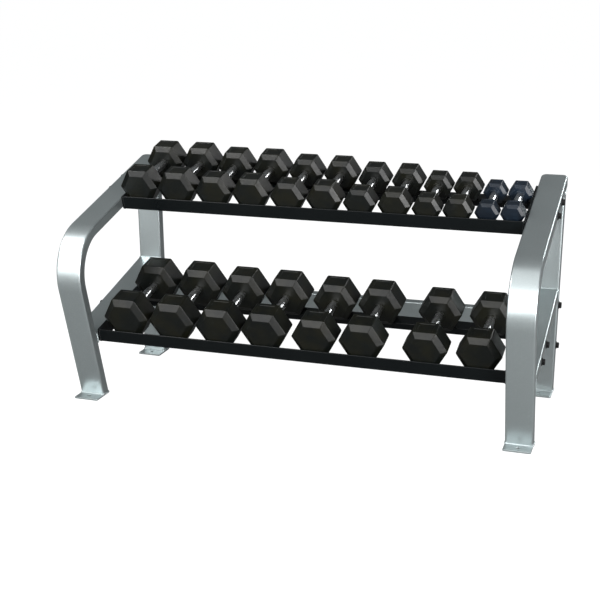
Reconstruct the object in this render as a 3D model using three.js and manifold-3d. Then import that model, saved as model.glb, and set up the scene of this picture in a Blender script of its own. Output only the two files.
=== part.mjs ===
// Two-tier dumbbell rack with its set of twenty rubber hex dumbbells, 5 lb to 50 lb in pairs.
// Millimetres, +Z up, +X along the rack, the front faces -Y.
import * as THREE from 'three';
import * as BufferGeometryUtils from 'three/addons/utils/BufferGeometryUtils.js';
import Module from 'manifold-3d';

const wasm = await Module();
wasm.setup();

// ---- Driving dimensions -------------------------------------------------------------------
const degree = Math.PI / 180;
const fitGap = 0.3;

// The rack as a whole. Side-view places (y, z) start where the leg's front face meets the floor.
const overallLength = 1590;
const frameAngle = 15 * degree;
const bendCornerHeight = 572;
const bendRadius = 170;
const uprightFront = 505;
const topTubeEnd = 574;
const braceTopAtUpright = 382;

// One flat-sided steel tube makes every silver member.
const tubeWidth = 88.9;
const tubeDepth = 38.1;
const tubeWall = 3;
const tubeCorner = 6;
const endCapLength = 20;
const endCapCorner = 18;

// Foot plates, one under each leg and each upright.
const footThickness = 6;
const footProjection = 52;
const footHeel = 3;
const anchorHole = 13;

// Shelves: a flat tube across the front with a lip in front of it, and a wider flat tube behind.
const shelfTilt = 13.5 * degree;
const lipThickness = 4.8;
const lipHeight = 30;
const frontRailHeight = 16;
const rearRailHeight = 25.4;
const frontRailDepth = 38.1;
const rearRailDepth = 50.8;
const railWall = 2.5;
const plateThickness = 6;
const upperShelf = { front: 208, top: 674, rearRail: 211, plateLength: 285, firstBolt: 108 };
const lowerShelf = { front: -20, top: 253, rearRail: 275, plateLength: 335, firstBolt: 123 };
const plateTaper = 60;
const shelfBoltPitch = 100;

// Crossbar between the two uprights.
const crossbarCentre = 247;
const crossbarPlateHeight = 192;
const crossbarBoltPitch = 146;

// Fasteners.
const boltDiameter = 12;
const boltHole = 13;
const headAcrossFlats = 19;
const headHeight = 7.5;
const washerDiameter = 26;
const washerThickness = 2.5;

// Dumbbells: a head's size grows with the cube root of its weight.
const headFlatsBase = 8;
const headFlatsPerRoot = 36.7;
const headLengthShare = 0.705;
const chamferInShare = 0.14;
const chamferAlongShare = 0.105;
const gripBase = 70;
const gripPerRoot = 22.5;
const gripLongest = 146;
const handleRadius = 14;
const upperWeights = [30, 30, 25, 25, 20, 20, 15, 15, 10, 10, 5, 5];
const upperStart = 84;
const upperSpaces = [1.5, 0.8, 3, 4.2, 4, 3.5, 4.3, 0.8, 0.8, 0.8, 0.9];
const lowerWeights = [50, 50, 45, 45, 40, 40, 35, 35];
const lowerStart = 113;
const lowerSpaces = [5, 5, 3, 16, 6, 56, 24];
const headToLip = 2;
const rearHeadRest = 14;

// ---- Worked out from them -----------------------------------------------------------------
const alongFrame = Math.tan(frameAngle);
const tubeDepthUpright = tubeDepth / Math.cos(frameAngle);
const innerFace = tubeWidth + fitGap;
const railStart = innerFace + plateThickness + fitGap;
const frontRailFloor = -lipHeight - frontRailHeight;
const rearRailFloor = -lipHeight - rearRailHeight;
const bendCorner = new THREE.Vector2(-alongFrame * bendCornerHeight, bendCornerHeight);
const legUp = new THREE.Vector2(-Math.sin(frameAngle), Math.cos(frameAngle));
const topBack = new THREE.Vector2(Math.cos(frameAngle), Math.sin(frameAngle));
const topTubeLength = (topTubeEnd - bendCorner.x) / topBack.x;
const bendCentre = bendCorner.clone().addScaledVector(legUp, -bendRadius).addScaledVector(topBack, bendRadius);
const foremost = bendCentre.x - bendRadius;
const rearmost = topTubeEnd + tubeDepth * Math.sin(frameAngle);

// ---- Finishes -----------------------------------------------------------------------------
const silver = new THREE.MeshStandardMaterial({ color: 0x7f8a8b, roughness: 0.38, metalness: 0.6 });
const black = new THREE.MeshStandardMaterial({ color: 0x101617, roughness: 0.45, metalness: 0.1 });
const boltBlack = new THREE.MeshStandardMaterial({ color: 0x0c0d0e, roughness: 0.5, metalness: 0.4 });
const rubber = new THREE.MeshStandardMaterial({ color: 0x1a1b18, roughness: 0.7, metalness: 0.0 });

// ---- Solids -------------------------------------------------------------------------------
function toSolid(geometry) {
  const bare = geometry.clone();
  bare.deleteAttribute('normal');
  bare.deleteAttribute('uv');
  const merged = BufferGeometryUtils.mergeVertices(bare, 1e-4);
  const mesh = new wasm.Mesh({
    numProp: 3,
    vertProperties: new Float32Array(merged.attributes.position.array),
    triVerts: new Uint32Array(merged.index.array),
  });
  return new wasm.Manifold(mesh);
}

function toGeometry(solid) {
  const mesh = solid.getMesh();
  const geometry = new THREE.BufferGeometry();
  geometry.setAttribute('position', new THREE.BufferAttribute(mesh.vertProperties, 3));
  geometry.setIndex(new THREE.BufferAttribute(mesh.triVerts, 1));
  geometry.computeVertexNormals();
  return geometry;
}

// A side-view outline (y, z) drawn out along X. A corner radius rounds its long edges.
function drawnOut(outline, start, width, corner = 0) {
  const shape = outline instanceof THREE.Shape ? outline : new THREE.Shape(outline);
  const geometry = new THREE.ExtrudeGeometry(shape, {
    depth: width - 2 * corner,
    curveSegments: 6,
    bevelEnabled: corner > 0,
    bevelSize: corner,
    bevelThickness: corner,
    bevelOffset: -corner,
    bevelSegments: 2,
  });
  geometry.translate(0, 0, corner);
  const axes = new THREE.Matrix4().makeBasis(
    new THREE.Vector3(0, 1, 0),
    new THREE.Vector3(0, 0, 1),
    new THREE.Vector3(1, 0, 0),
  );
  geometry.applyMatrix4(axes);
  geometry.translate(start, 0, 0);
  return toSolid(geometry);
}

// A round or six-sided bar along X, from start, at a side-view place (y, z).
function barAlongX(start, length, diameter, sides, y, z) {
  const geometry = new THREE.CylinderGeometry(diameter / 2, diameter / 2, length, sides);
  geometry.rotateZ(-Math.PI / 2);
  geometry.translate(start + length / 2, y, z);
  return toSolid(geometry);
}

function block(x0, x1, y0, y1, z0, z1) {
  const geometry = new THREE.BoxGeometry(x1 - x0, y1 - y0, z1 - z0);
  geometry.translate((x0 + x1) / 2, (y0 + y1) / 2, (z0 + z1) / 2);
  return toSolid(geometry);
}

// A hollow silver member: long outline, rounded, trimmed to the outline it keeps.
function hollowMember(outer, bore, keep, holes) {
  let solid = drawnOut(outer, 0, tubeWidth, tubeCorner).subtract(
    drawnOut(bore, tubeWall, tubeWidth - 2 * tubeWall),
  );
  if (keep) solid = solid.intersect(drawnOut(keep, -1, tubeWidth + 2));
  for (const [y, z] of holes) solid = solid.subtract(barAlongX(-1, tubeWidth + 2, boltHole, 16, y, z));
  return solid;
}

// ---- Side frame ---------------------------------------------------------------------------
const overrun = 40;

const topFaceHeight = (y) => bendCorner.y + alongFrame * (y - bendCorner.x);
const braceFaceHeight = (y) => braceTopAtUpright - alongFrame * (uprightFront - y);

// Outline of the bent leg and top tube, a given inset inside the tube's outer faces.
function bentOutline(inset, endInset) {
  const foot = new THREE.Vector2(0, 0).addScaledVector(legUp, -overrun).addScaledVector(topBack, inset);
  const end = bendCorner.clone().addScaledVector(topBack, topTubeLength - endCapLength - fitGap + endInset);
  const near = end.clone().addScaledVector(legUp, -inset);
  const far = end.clone().addScaledVector(legUp, inset - tubeDepth);
  const heel = foot.clone().addScaledVector(topBack, tubeDepth - 2 * inset);
  const shape = new THREE.Shape();
  const legAngle = Math.PI + frameAngle;
  const topAngle = Math.PI / 2 + frameAngle;
  shape.moveTo(foot.x, foot.y);
  shape.absarc(bendCentre.x, bendCentre.y, bendRadius - inset, legAngle, topAngle, true);
  shape.lineTo(near.x, near.y);
  shape.lineTo(far.x, far.y);
  shape.absarc(bendCentre.x, bendCentre.y, bendRadius - tubeDepth + inset, topAngle, legAngle, false);
  shape.lineTo(heel.x, heel.y);
  return shape;
}

function outlineOf(points) {
  return points.map(([y, z]) => new THREE.Vector2(y, z));
}

function bentLeg() {
  const floorTrim = block(-1, tubeWidth + 1, -200, 200, -100, footThickness + fitGap);
  const endPoint = bendCorner.clone().addScaledVector(topBack, topTubeLength - endCapLength - fitGap);
  const past = endPoint.clone().addScaledVector(topBack, 100);
  const reach = 100;
  const endTrim = drawnOut(outlineOf([
    [endPoint.x + legUp.x * reach, endPoint.y + legUp.y * reach],
    [endPoint.x - legUp.x * reach, endPoint.y - legUp.y * reach],
    [past.x - legUp.x * reach, past.y - legUp.y * reach],
    [past.x + legUp.x * reach, past.y + legUp.y * reach],
  ]), -1, tubeWidth + 2);
  return hollowMember(bentOutline(0, overrun), bentOutline(tubeWall, 2 * overrun), null, shelfBolts(upperShelf))
    .subtract(floorTrim)
    .subtract(endTrim);
}

function endCap() {
  const shape = new THREE.Shape();
  shape.moveTo(0, 0);
  shape.lineTo(tubeWidth, 0);
  shape.absarc(tubeWidth - endCapCorner, endCapLength - endCapCorner, endCapCorner, 0, Math.PI / 2, false);
  shape.absarc(endCapCorner, endCapLength - endCapCorner, endCapCorner, Math.PI / 2, Math.PI, false);
  const geometry = new THREE.ExtrudeGeometry(shape, { depth: tubeDepth, curveSegments: 3, bevelEnabled: false });
  geometry.translate(0, -endCapLength, -tubeDepth);
  geometry.rotateX(frameAngle);
  geometry.translate(0, topTubeEnd, topFaceHeight(topTubeEnd));
  return toSolid(geometry);
}

function rearUpright() {
  const back = uprightFront + tubeDepth;
  const top = topFaceHeight(back) + overrun;
  const outer = outlineOf([[uprightFront, -overrun], [back, -overrun], [back, top], [uprightFront, top]]);
  const bore = outlineOf([
    [uprightFront + tubeWall, -2 * overrun],
    [back - tubeWall, -2 * overrun],
    [back - tubeWall, top + overrun],
    [uprightFront + tubeWall, top + overrun],
  ]);
  const under = tubeDepthUpright + fitGap / Math.cos(frameAngle);
  const keep = outlineOf([
    [uprightFront - 1, footThickness + fitGap],
    [back + 1, footThickness + fitGap],
    [back + 1, topFaceHeight(back + 1) - under],
    [uprightFront - 1, topFaceHeight(uprightFront - 1) - under],
  ]);
  return hollowMember(outer, bore, keep, crossbarBolts());
}

function lowerBrace() {
  const rear = uprightFront - fitGap;
  const frontFoot = legRearMeetsBrace(0);
  const frontHeel = legRearMeetsBrace(tubeDepth);
  const face = (y, down) => [y, braceFaceHeight(y) - down / Math.cos(frameAngle)];
  const long = (down) => [face(frontFoot.x - overrun, down), face(rear + overrun, down)];
  const [a, b] = long(0);
  const [d, c] = long(tubeDepth);
  const [e, f] = long(tubeWall);
  const [h, g] = long(tubeDepth - tubeWall);
  const keep = outlineOf([
    [frontFoot.x, frontFoot.y],
    face(rear, 0),
    face(rear, tubeDepth),
    [frontHeel.x, frontHeel.y],
  ]);
  return hollowMember(outlineOf([a, b, c, d]), outlineOf([e, f, g, h]), growAcross(keep), shelfBolts(lowerShelf));
}

// Where the leg's rear face, a fit gap away, meets the brace's face a given depth below its top.
function legRearMeetsBrace(down) {
  const onFace = new THREE.Vector2(uprightFront, braceTopAtUpright).addScaledVector(legUp, -down);
  const offLeg = onFace.dot(topBack);
  return onFace.addScaledVector(topBack, tubeDepth + fitGap - offLeg);
}

// Widens a four-point outline across the brace, so that only its ends trim.
function growAcross(points) {
  const [frontTop, rearTop, rearLow, frontLow] = points;
  const margin = 2;
  return [
    frontTop.clone().addScaledVector(legUp, margin),
    new THREE.Vector2(rearTop.x, rearTop.y + margin),
    new THREE.Vector2(rearLow.x, rearLow.y - margin),
    frontLow.clone().addScaledVector(legUp, -margin),
  ];
}

function footPlate(front) {
  const heel = front === 0 ? tubeDepthUpright + footHeel : tubeDepth + footHeel;
  const plate = block(0, tubeWidth, front - footProjection, front + heel, 0, footThickness);
  const hole = new THREE.CylinderGeometry(anchorHole / 2, anchorHole / 2, 4 * footThickness, 16);
  hole.rotateX(Math.PI / 2);
  hole.translate(tubeWidth / 2, front - footProjection / 2, 0);
  return plate.subtract(toSolid(hole));
}

// ---- Bolts --------------------------------------------------------------------------------
// Side-view places of a shelf's two bolts, on the middle line of the tube behind its end plate.
function shelfBolts(shelf) {
  const faceHeight = shelf === upperShelf ? topFaceHeight : braceFaceHeight;
  return [0, 1].map((index) => {
    const y = shelf.front + (shelf.firstBolt + index * shelfBoltPitch) * Math.cos(shelfTilt);
    return [y, faceHeight(y) - tubeDepthUpright / 2];
  });
}

function crossbarBolts() {
  const y = uprightFront + tubeDepth / 2;
  return [-1, 1].map((side) => [y, crossbarCentre + (side * crossbarBoltPitch) / 2]);
}

// A hex bolt with its washer, entering from the left frame's outer face.
function bolt(y, z) {
  const shank = innerFace + plateThickness;
  const washer = barAlongX(-washerThickness - fitGap, washerThickness, washerDiameter, 16, y, z);
  const head = barAlongX(
    -washerThickness - headHeight - fitGap,
    headHeight + 0.5,
    headAcrossFlats / Math.cos(30 * degree),
    6,
    y,
    z,
  );
  return washer.add(head).add(barAlongX(-fitGap - 0.5, shank, boltDiameter, 12, y, z));
}

// A plate on the left frame's inner face, with a tapped hole for each bolt that holds it.
function tappedPlate(plate, holes) {
  let solid = plate;
  for (const [y, z] of holes) {
    solid = solid.subtract(barAlongX(innerFace - 1, plateThickness + 2, boltHole, 12, y, z));
  }
  return solid;
}

// ---- Shelves ------------------------------------------------------------------------------
function shelfPlace(shelf, along, up) {
  return [
    shelf.front + along * Math.cos(shelfTilt) - up * Math.sin(shelfTilt),
    shelf.top + along * Math.sin(shelfTilt) + up * Math.cos(shelfTilt),
  ];
}

// A hollow rail of a shelf between its end plates; its outline and bore are given on the tilt.
function shelfRail(shelf, outline, floor, boreStart, boreEnd) {
  const placed = (points) => outlineOf(points.map(([s, h]) => shelfPlace(shelf, s, h)));
  const shape = new THREE.Shape(placed(outline));
  const boreTop = -lipHeight - railWall;
  const boreFloor = floor + railWall;
  shape.holes.push(new THREE.Path(placed([
    [boreStart, boreTop],
    [boreStart, boreFloor],
    [boreEnd, boreFloor],
    [boreEnd, boreTop],
  ])));
  return drawnOut(shape, railStart, overallLength - 2 * railStart);
}

function frontRail(shelf) {
  const back = lipThickness + frontRailDepth;
  const outline = [
    [0, 0],
    [lipThickness, 0],
    [lipThickness, -lipHeight],
    [back, -lipHeight],
    [back, frontRailFloor],
    [0, frontRailFloor],
  ];
  return shelfRail(shelf, outline, frontRailFloor, lipThickness + railWall, back - railWall);
}

function rearRail(shelf) {
  const front = shelf.rearRail;
  const back = front + rearRailDepth;
  const outline = [[front, -lipHeight], [back, -lipHeight], [back, rearRailFloor], [front, rearRailFloor]];
  return shelfRail(shelf, outline, rearRailFloor, front + railWall, back - railWall);
}

function shelfEndPlate(shelf) {
  const outline = [
    [0, 0],
    [shelf.plateLength, 0],
    [shelf.plateLength, rearRailFloor],
    [plateTaper, rearRailFloor],
    [0, frontRailFloor],
  ].map(([s, h]) => shelfPlace(shelf, s, h));
  return tappedPlate(drawnOut(outlineOf(outline), innerFace, plateThickness), shelfBolts(shelf));
}

function crossbar() {
  const low = crossbarCentre - tubeWidth / 2;
  const high = crossbarCentre + tubeWidth / 2;
  const back = uprightFront + tubeDepth;
  const box = (inset) => outlineOf([
    [uprightFront + inset, low + inset],
    [back - inset, low + inset],
    [back - inset, high - inset],
    [uprightFront + inset, high - inset],
  ]);
  const length = overallLength - 2 * railStart;
  const outer = drawnOut(box(0), railStart - overrun, length + 2 * overrun, tubeCorner);
  const bore = drawnOut(box(tubeWall), railStart - 2 * overrun, length + 4 * overrun);
  const keep = drawnOut(box(-1), railStart, length);
  return outer.subtract(bore).intersect(keep);
}

function crossbarEndPlate() {
  const back = uprightFront + tubeDepth;
  const low = crossbarCentre - crossbarPlateHeight / 2;
  const plate = block(innerFace, innerFace + plateThickness, uprightFront, back, low, low + crossbarPlateHeight);
  return tappedPlate(plate, crossbarBolts());
}

// ---- Dumbbells ----------------------------------------------------------------------------
function dumbbellSize(weight) {
  const root = Math.cbrt(weight);
  const flats = headFlatsBase + headFlatsPerRoot * root;
  const head = headLengthShare * flats;
  const grip = Math.min(gripLongest, gripBase + gripPerRoot * root);
  const face = flats * (1 - 2 * chamferInShare);
  return { flats, face, head, grip, edge: chamferAlongShare * flats, width: flats / Math.cos(30 * degree) };
}

// Twelve points round a six-sided section with flats above and below, at a place along Y.
function hexRing(along, flats) {
  const corner = flats / 2 / Math.cos(30 * degree);
  return Array.from({ length: 12 }, (_, index) => {
    const radius = index % 2 === 0 ? corner : flats / 2;
    const turn = index * 30 * degree;
    return new THREE.Vector3(radius * Math.cos(turn), along, radius * Math.sin(turn));
  });
}

function roundRing(along, radius) {
  return Array.from({ length: 12 }, (_, index) => {
    const turn = index * 30 * degree;
    return new THREE.Vector3(radius * Math.cos(turn), along, radius * Math.sin(turn));
  });
}

// A closed skin over rings of equal count, running towards +Y.
function skinOver(rings) {
  const count = rings[0].length;
  const positions = rings.flat().flatMap((point) => [point.x, point.y, point.z]);
  const index = [];
  for (let ring = 0; ring < rings.length - 1; ring += 1) {
    for (let step = 0; step < count; step += 1) {
      const a = ring * count + step;
      const b = ring * count + ((step + 1) % count);
      index.push(a, a + count, b, b, a + count, b + count);
    }
  }
  const last = (rings.length - 1) * count;
  for (let step = 1; step < count - 1; step += 1) {
    index.push(0, step, step + 1, last, last + step + 1, last + step);
  }
  const geometry = new THREE.BufferGeometry();
  geometry.setAttribute('position', new THREE.Float32BufferAttribute(positions, 3));
  geometry.setIndex(index);
  geometry.computeVertexNormals();
  return geometry;
}

// A hex dumbbell lying along Y, its front face at zero and its handle's middle line on the axis.
function dumbbellGeometry(size) {
  const total = 2 * size.head + size.grip;
  const half = [
    hexRing(0, size.face),
    hexRing(size.edge, size.flats),
    hexRing(size.head - size.edge, size.flats),
    hexRing(size.head, size.face),
    roundRing(size.head, handleRadius),
  ];
  const mirrored = half.map((ring) => ring.map((point) => point.clone().setY(total - point.y))).reverse();
  return skinOver([...half, ...mirrored]);
}

// ---- Assembly -----------------------------------------------------------------------------
const rack = new THREE.Group();
const body = new THREE.Group();
body.position.set(-overallLength / 2, -(foremost + rearmost) / 2, 0);
rack.add(body);

function addPiece(name, geometry, material, parent = body) {
  const mesh = new THREE.Mesh(geometry, material);
  mesh.name = name;
  parent.add(mesh);
  return mesh;
}

// The same piece on both side frames; the right one is its mirror image.
function addPair(name, solid, material) {
  addPiece(`left_${name}`, toGeometry(solid), material);
  const mirrored = solid.mirror([1, 0, 0]).translate([overallLength, 0, 0]);
  addPiece(`right_${name}`, toGeometry(mirrored), material);
}

addPair('bent_leg', bentLeg(), silver);
addPair('top_end_cap', endCap(), silver);
addPair('rear_upright', rearUpright(), silver);
addPair('lower_brace', lowerBrace(), silver);
addPair('front_foot_plate', footPlate(0), silver);
addPair('rear_foot_plate', footPlate(uprightFront), silver);
addPair('crossbar_end_plate', crossbarEndPlate(), silver);
addPiece('rear_crossbar', toGeometry(crossbar()), silver);

for (const [tier, shelf] of [['upper', upperShelf], ['lower', lowerShelf]]) {
  addPiece(`${tier}_front_rail`, toGeometry(frontRail(shelf)), black);
  addPiece(`${tier}_rear_rail`, toGeometry(rearRail(shelf)), black);
  addPair(`${tier}_shelf_end_plate`, shelfEndPlate(shelf), black);
  shelfBolts(shelf).forEach(([y, z], index) => {
    addPair(`${tier}_shelf_bolt_${index === 0 ? 'front' : 'rear'}`, bolt(y, z), boltBlack);
  });
}
crossbarBolts().forEach(([y, z], index) => {
  addPair(`crossbar_bolt_${index === 0 ? 'lower' : 'upper'}`, bolt(y, z), boltBlack);
});

// Lays a row of dumbbells on a shelf, side by side from the left.
function layRow(shelf, weights, start, spaces) {
  const tilted = new THREE.Group();
  tilted.position.set(0, shelf.front, shelf.top);
  tilted.rotation.x = shelfTilt;
  body.add(tilted);
  let edge = start;
  weights.forEach((weight, index) => {
    const size = dumbbellSize(weight);
    const pitch = size.head + size.grip;
    const restingFront = shelf.rearRail + rearHeadRest + size.edge - size.head - pitch;
    const front = Math.max(lipThickness + headToLip, restingFront);
    const name = `dumbbell_${weight}lb_${index % 2 === 0 ? 'left' : 'right'}`;
    const piece = addPiece(name, dumbbellGeometry(size), rubber, tilted);
    piece.position.set(edge + size.width / 2, front, size.flats / 2 - lipHeight + fitGap);
    edge += size.width + (spaces[index] ?? 0);
  });
}

layRow(upperShelf, upperWeights, upperStart, upperSpaces);
layRow(lowerShelf, lowerWeights, lowerStart, lowerSpaces);

export default rack;
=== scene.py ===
"""Looks of a two-tier dumbbell rack and of the twenty hexagonal dumbbells on it.

Metres, +Z up, +X along the rack, the front faces -Y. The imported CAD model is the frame: every piece
here stands where its CAD node stands and rides on its body.
"""

import logging
import math
from dataclasses import dataclass, field
from enum import Enum
from typing import Any, Sequence

import bmesh
import bpy
from bpy.types import GeometryNodeTree, Material, Mesh, Node, NodeSocket, NodeTree, Object
from mathutils import Matrix, Vector


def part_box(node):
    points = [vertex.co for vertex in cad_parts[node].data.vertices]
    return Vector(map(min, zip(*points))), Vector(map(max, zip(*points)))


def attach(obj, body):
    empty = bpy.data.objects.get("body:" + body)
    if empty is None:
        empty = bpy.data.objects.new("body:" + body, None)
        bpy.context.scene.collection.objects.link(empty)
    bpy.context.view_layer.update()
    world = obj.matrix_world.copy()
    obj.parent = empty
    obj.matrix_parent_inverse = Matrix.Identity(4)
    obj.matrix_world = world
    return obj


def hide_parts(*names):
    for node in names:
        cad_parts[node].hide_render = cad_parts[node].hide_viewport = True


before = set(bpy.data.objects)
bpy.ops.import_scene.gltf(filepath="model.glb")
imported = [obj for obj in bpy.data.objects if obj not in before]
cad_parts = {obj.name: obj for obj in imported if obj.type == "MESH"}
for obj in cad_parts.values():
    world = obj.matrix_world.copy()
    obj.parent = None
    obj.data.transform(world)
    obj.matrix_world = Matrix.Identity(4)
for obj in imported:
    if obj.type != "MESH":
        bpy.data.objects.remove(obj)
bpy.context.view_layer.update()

log = logging.getLogger("dumbbell_rack")

MM = 0.001
RACK = "rack"
Point = tuple[float, float]


class Side(Enum):
    """The two side frames; the value is the outward direction along X."""

    LEFT = -1
    RIGHT = 1

    @property
    def label(self) -> str:
        """The side's name as the CAD nodes spell it."""
        return self.name.lower()


class Tier(Enum):
    """The two shelves."""

    UPPER = "upper"
    LOWER = "lower"


class Slot(Enum):
    """The record's material slots."""

    SILVER = "silver_coat"
    BLACK = "black_coat"
    BOLT = "bolt_steel"
    RUBBER = "rubber_head"
    CHROME = "handle_chrome"


# ---- Helpers ------------------------------------------------------------------------------


def linear(hex_colour: str) -> tuple[float, float, float, float]:
    """Turns an sRGB hex colour into linear RGBA.

    Args:
        hex_colour: Six hex digits after a hash sign.

    Returns:
        The linear colour with an alpha of one.
    """
    parts = [int(hex_colour[i : i + 2], 16) / 255 for i in (1, 3, 5)]
    red, green, blue = (p / 12.92 if p <= 0.04045 else ((p + 0.055) / 1.055) ** 2.4 for p in parts)
    return (red, green, blue, 1.0)


def per_metre(size_mm: float) -> float:
    """The pattern scale whose features are size_mm apart, on coordinates in metres."""
    return 1000.0 / size_mm


def box_of(node: str) -> tuple[Vector, Vector]:
    """The lowest and the highest corner of a CAD node's box."""
    low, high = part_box(node)
    return Vector(low), Vector(high)


def middle_of(node: str) -> Vector:
    """The middle of a CAD node's box."""
    low, high = box_of(node)
    return (low + high) / 2


def add_node(
    tree: NodeTree, kind: str, inputs: dict | None = None, **settings: Any
) -> Node:
    """Adds a node with its settings, and links or sets its inputs.

    Args:
        tree: The shader or geometry tree.
        kind: The node's type name.
        inputs: Input names or numbers, each with a value or with the output socket to link.
        settings: The node's own properties.

    Returns:
        The new node.
    """
    node = tree.nodes.new(kind)
    for name, value in settings.items():
        setattr(node, name, value)
    for key, value in (inputs or {}).items():
        if isinstance(value, NodeSocket):
            tree.links.new(value, node.inputs[key])
        else:
            node.inputs[key].default_value = value
    return node


def fillet(points: Sequence[Point], radius: float, steps: int, closed: bool = True) -> list[Point]:
    """Rounds the corners of an outline.

    Args:
        points: The outline's corners.
        radius: The radius at each corner, made smaller where the sides are short.
        steps: The segments of each rounded corner.
        closed: Whether the last point joins the first.

    Returns:
        The rounded outline.
    """
    rounded: list[Point] = []
    count = len(points)
    # A corner takes up less than half of a side, so two corners never meet.
    most = 0.45
    for index, point in enumerate(points):
        if not closed and index in (0, count - 1):
            rounded.append(tuple(point))
            continue
        here = Vector(point)
        before = Vector(points[index - 1]) - here
        after = Vector(points[(index + 1) % count]) - here
        half = before.angle(after) / 2
        reach = min(radius / math.tan(half), most * before.length, most * after.length)
        bend = reach * math.tan(half)
        middle = here + (before.normalized() + after.normalized()).normalized() * bend / math.sin(half)
        start = here + before.normalized() * reach - middle
        sweep = start.angle_signed(here + after.normalized() * reach - middle)
        for step in range(steps + 1):
            turn = -sweep * step / steps
            rounded.append((
                middle.x + start.x * math.cos(turn) - start.y * math.sin(turn),
                middle.y + start.x * math.sin(turn) + start.y * math.cos(turn),
            ))
    return rounded


def rounded_rectangle(width: float, depth: float, radius: float, steps: int = 5) -> list[Point]:
    """The outline of a rounded rectangle round the origin.

    Args:
        width: Its first side.
        depth: Its second side.
        radius: The radius of its corners.
        steps: The segments of each corner.

    Returns:
        The outline.
    """
    across, along = width / 2, depth / 2
    return fillet([(-across, -along), (across, -along), (across, along), (-across, along)], radius, steps)


def finish_mesh(piece: Object, crease: float = 35.0) -> None:
    """Points a closed mesh's faces outwards and shades it smooth up to a crease angle in degrees.

    Args:
        piece: The object to finish.
        crease: The sharpest angle, in degrees, that is still shaded smooth.
    """
    mesh = piece.data
    work = bmesh.new()
    work.from_mesh(mesh)
    bmesh.ops.recalc_face_normals(work, faces=work.faces)
    work.to_mesh(mesh)
    work.free()
    mesh.polygons.foreach_set("use_smooth", [True] * len(mesh.polygons))
    mesh.set_sharp_from_angle(angle=math.radians(crease))
    mesh.update()


def new_object(name: str, mesh: Mesh) -> Object:
    """Puts a mesh in the scene as an object at the origin.

    Args:
        name: The object's name.
        mesh: Its mesh.

    Returns:
        The new object.
    """
    piece = bpy.data.objects.new(name, mesh)
    bpy.context.scene.collection.objects.link(piece)
    return piece


def skin(name: str, rings: Sequence[Sequence[Vector]]) -> Object:
    """Makes a closed mesh over rings of equal count, with a face over the first and the last.

    Args:
        name: The object's name.
        rings: The rings, in order along the piece.

    Returns:
        The new object.
    """
    count = len(rings[0])
    points = [point for ring in rings for point in ring]
    faces: list[list[int]] = [list(range(count))]
    for ring in range(len(rings) - 1):
        base = ring * count
        for step in range(count):
            ahead = (step + 1) % count
            faces.append([base + step, base + ahead, base + count + ahead, base + count + step])
    faces.append(list(range((len(rings) - 1) * count, len(rings) * count)))
    mesh = bpy.data.meshes.new(name)
    mesh.from_pydata([tuple(p) for p in points], [], faces)
    piece = new_object(name, mesh)
    finish_mesh(piece)
    return piece


def even_normals(piece: Object) -> None:
    """Lets the large flat faces set the shading beside a rounded edge.

    Args:
        piece: The dressed piece.
    """
    modifier = piece.modifiers.new("even_normals", "WEIGHTED_NORMAL")
    modifier.keep_sharp = True
    modifier.weight = 100


def join(name: str, parts: Sequence[Object]) -> Object:
    """Joins the meshes of several objects at the origin into one new object.

    Args:
        name: The new object's name.
        parts: The objects to join, which are removed.

    Returns:
        The joined object.
    """
    work = bmesh.new()
    for part in parts:
        work.from_mesh(part.data)
    mesh = bpy.data.meshes.new(name)
    work.to_mesh(mesh)
    work.free()
    for part in parts:
        bpy.data.objects.remove(part)
    joined = new_object(name, mesh)
    finish_mesh(joined)
    return joined


def mirrored(name: str, piece: Object) -> Object:
    """The mirror image of a piece across the rack's middle plane, as a new object.

    Args:
        name: The new object's name.
        piece: The piece to mirror.

    Returns:
        The new object.
    """
    mesh = piece.data.copy()
    mesh.transform(Matrix.Scale(-1, 4, Vector((1, 0, 0))))
    twin = new_object(name, mesh)
    finish_mesh(twin)
    return twin


def dress(piece: Object, material: Material, slot: Slot, body: str, *nodes: str) -> None:
    """Gives a piece its material and body, and lets it stand for CAD nodes.

    Args:
        piece: The finished piece.
        material: Its material.
        slot: The record's slot; not used.
        body: The body it rides on.
        nodes: The CAD nodes that it replaces.
    """
    piece.data.materials.clear()
    piece.data.materials.append(material)
    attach(piece, body)
    if nodes:
        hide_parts(*nodes)
    log.info("%s: %d faces on %s", piece.name, len(piece.data.polygons), body)


# ---- Finishes -----------------------------------------------------------------------------


# The sockets of a colour mix: its two colours going in, and the mixed one coming out.
COLOUR_A, COLOUR_B, MIXED = 6, 7, 2


@dataclass(frozen=True)
class Finish:
    """A real surface, and the material that shows it."""

    name: str

    def paint(self, tree: NodeTree, place: NodeSocket) -> Node:
        """Adds the nodes that are the finish's own.

        Args:
            tree: The material's tree.
            place: The object coordinates, in metres.

        Returns:
            The shader node.
        """
        raise NotImplementedError

    def build(self) -> Material:
        """Makes the material.

        Returns:
            The material with its node tree.
        """
        material = bpy.data.materials.new(self.name)
        material.use_nodes = True
        tree = material.node_tree
        tree.nodes.clear()
        shader = self.paint(tree, add_node(tree, "ShaderNodeTexCoord").outputs["Object"])
        add_node(tree, "ShaderNodeOutputMaterial", {"Surface": shader.outputs["BSDF"]})
        return material


def blend(
    tree: NodeTree, mask: NodeSocket, span: Point, most: float, under: Any, over: Any
) -> NodeSocket:
    """Lays one colour over another where a noise is high.

    Args:
        tree: The material's tree.
        mask: The noise.
        span: The noise values where the upper colour begins and where it is strongest.
        most: The upper colour's greatest share.
        under: The lower colour, or the socket that gives it.
        over: The upper colour.

    Returns:
        The blended colour.
    """
    share = add_node(tree, "ShaderNodeMapRange", {
        "Value": mask, "From Min": span[0], "From Max": span[1], "To Max": most,
    })
    mixed = add_node(tree, "ShaderNodeMix", {
        0: share.outputs["Result"], COLOUR_A: under, COLOUR_B: over,
    }, data_type="RGBA")
    return mixed.outputs[MIXED]


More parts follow.
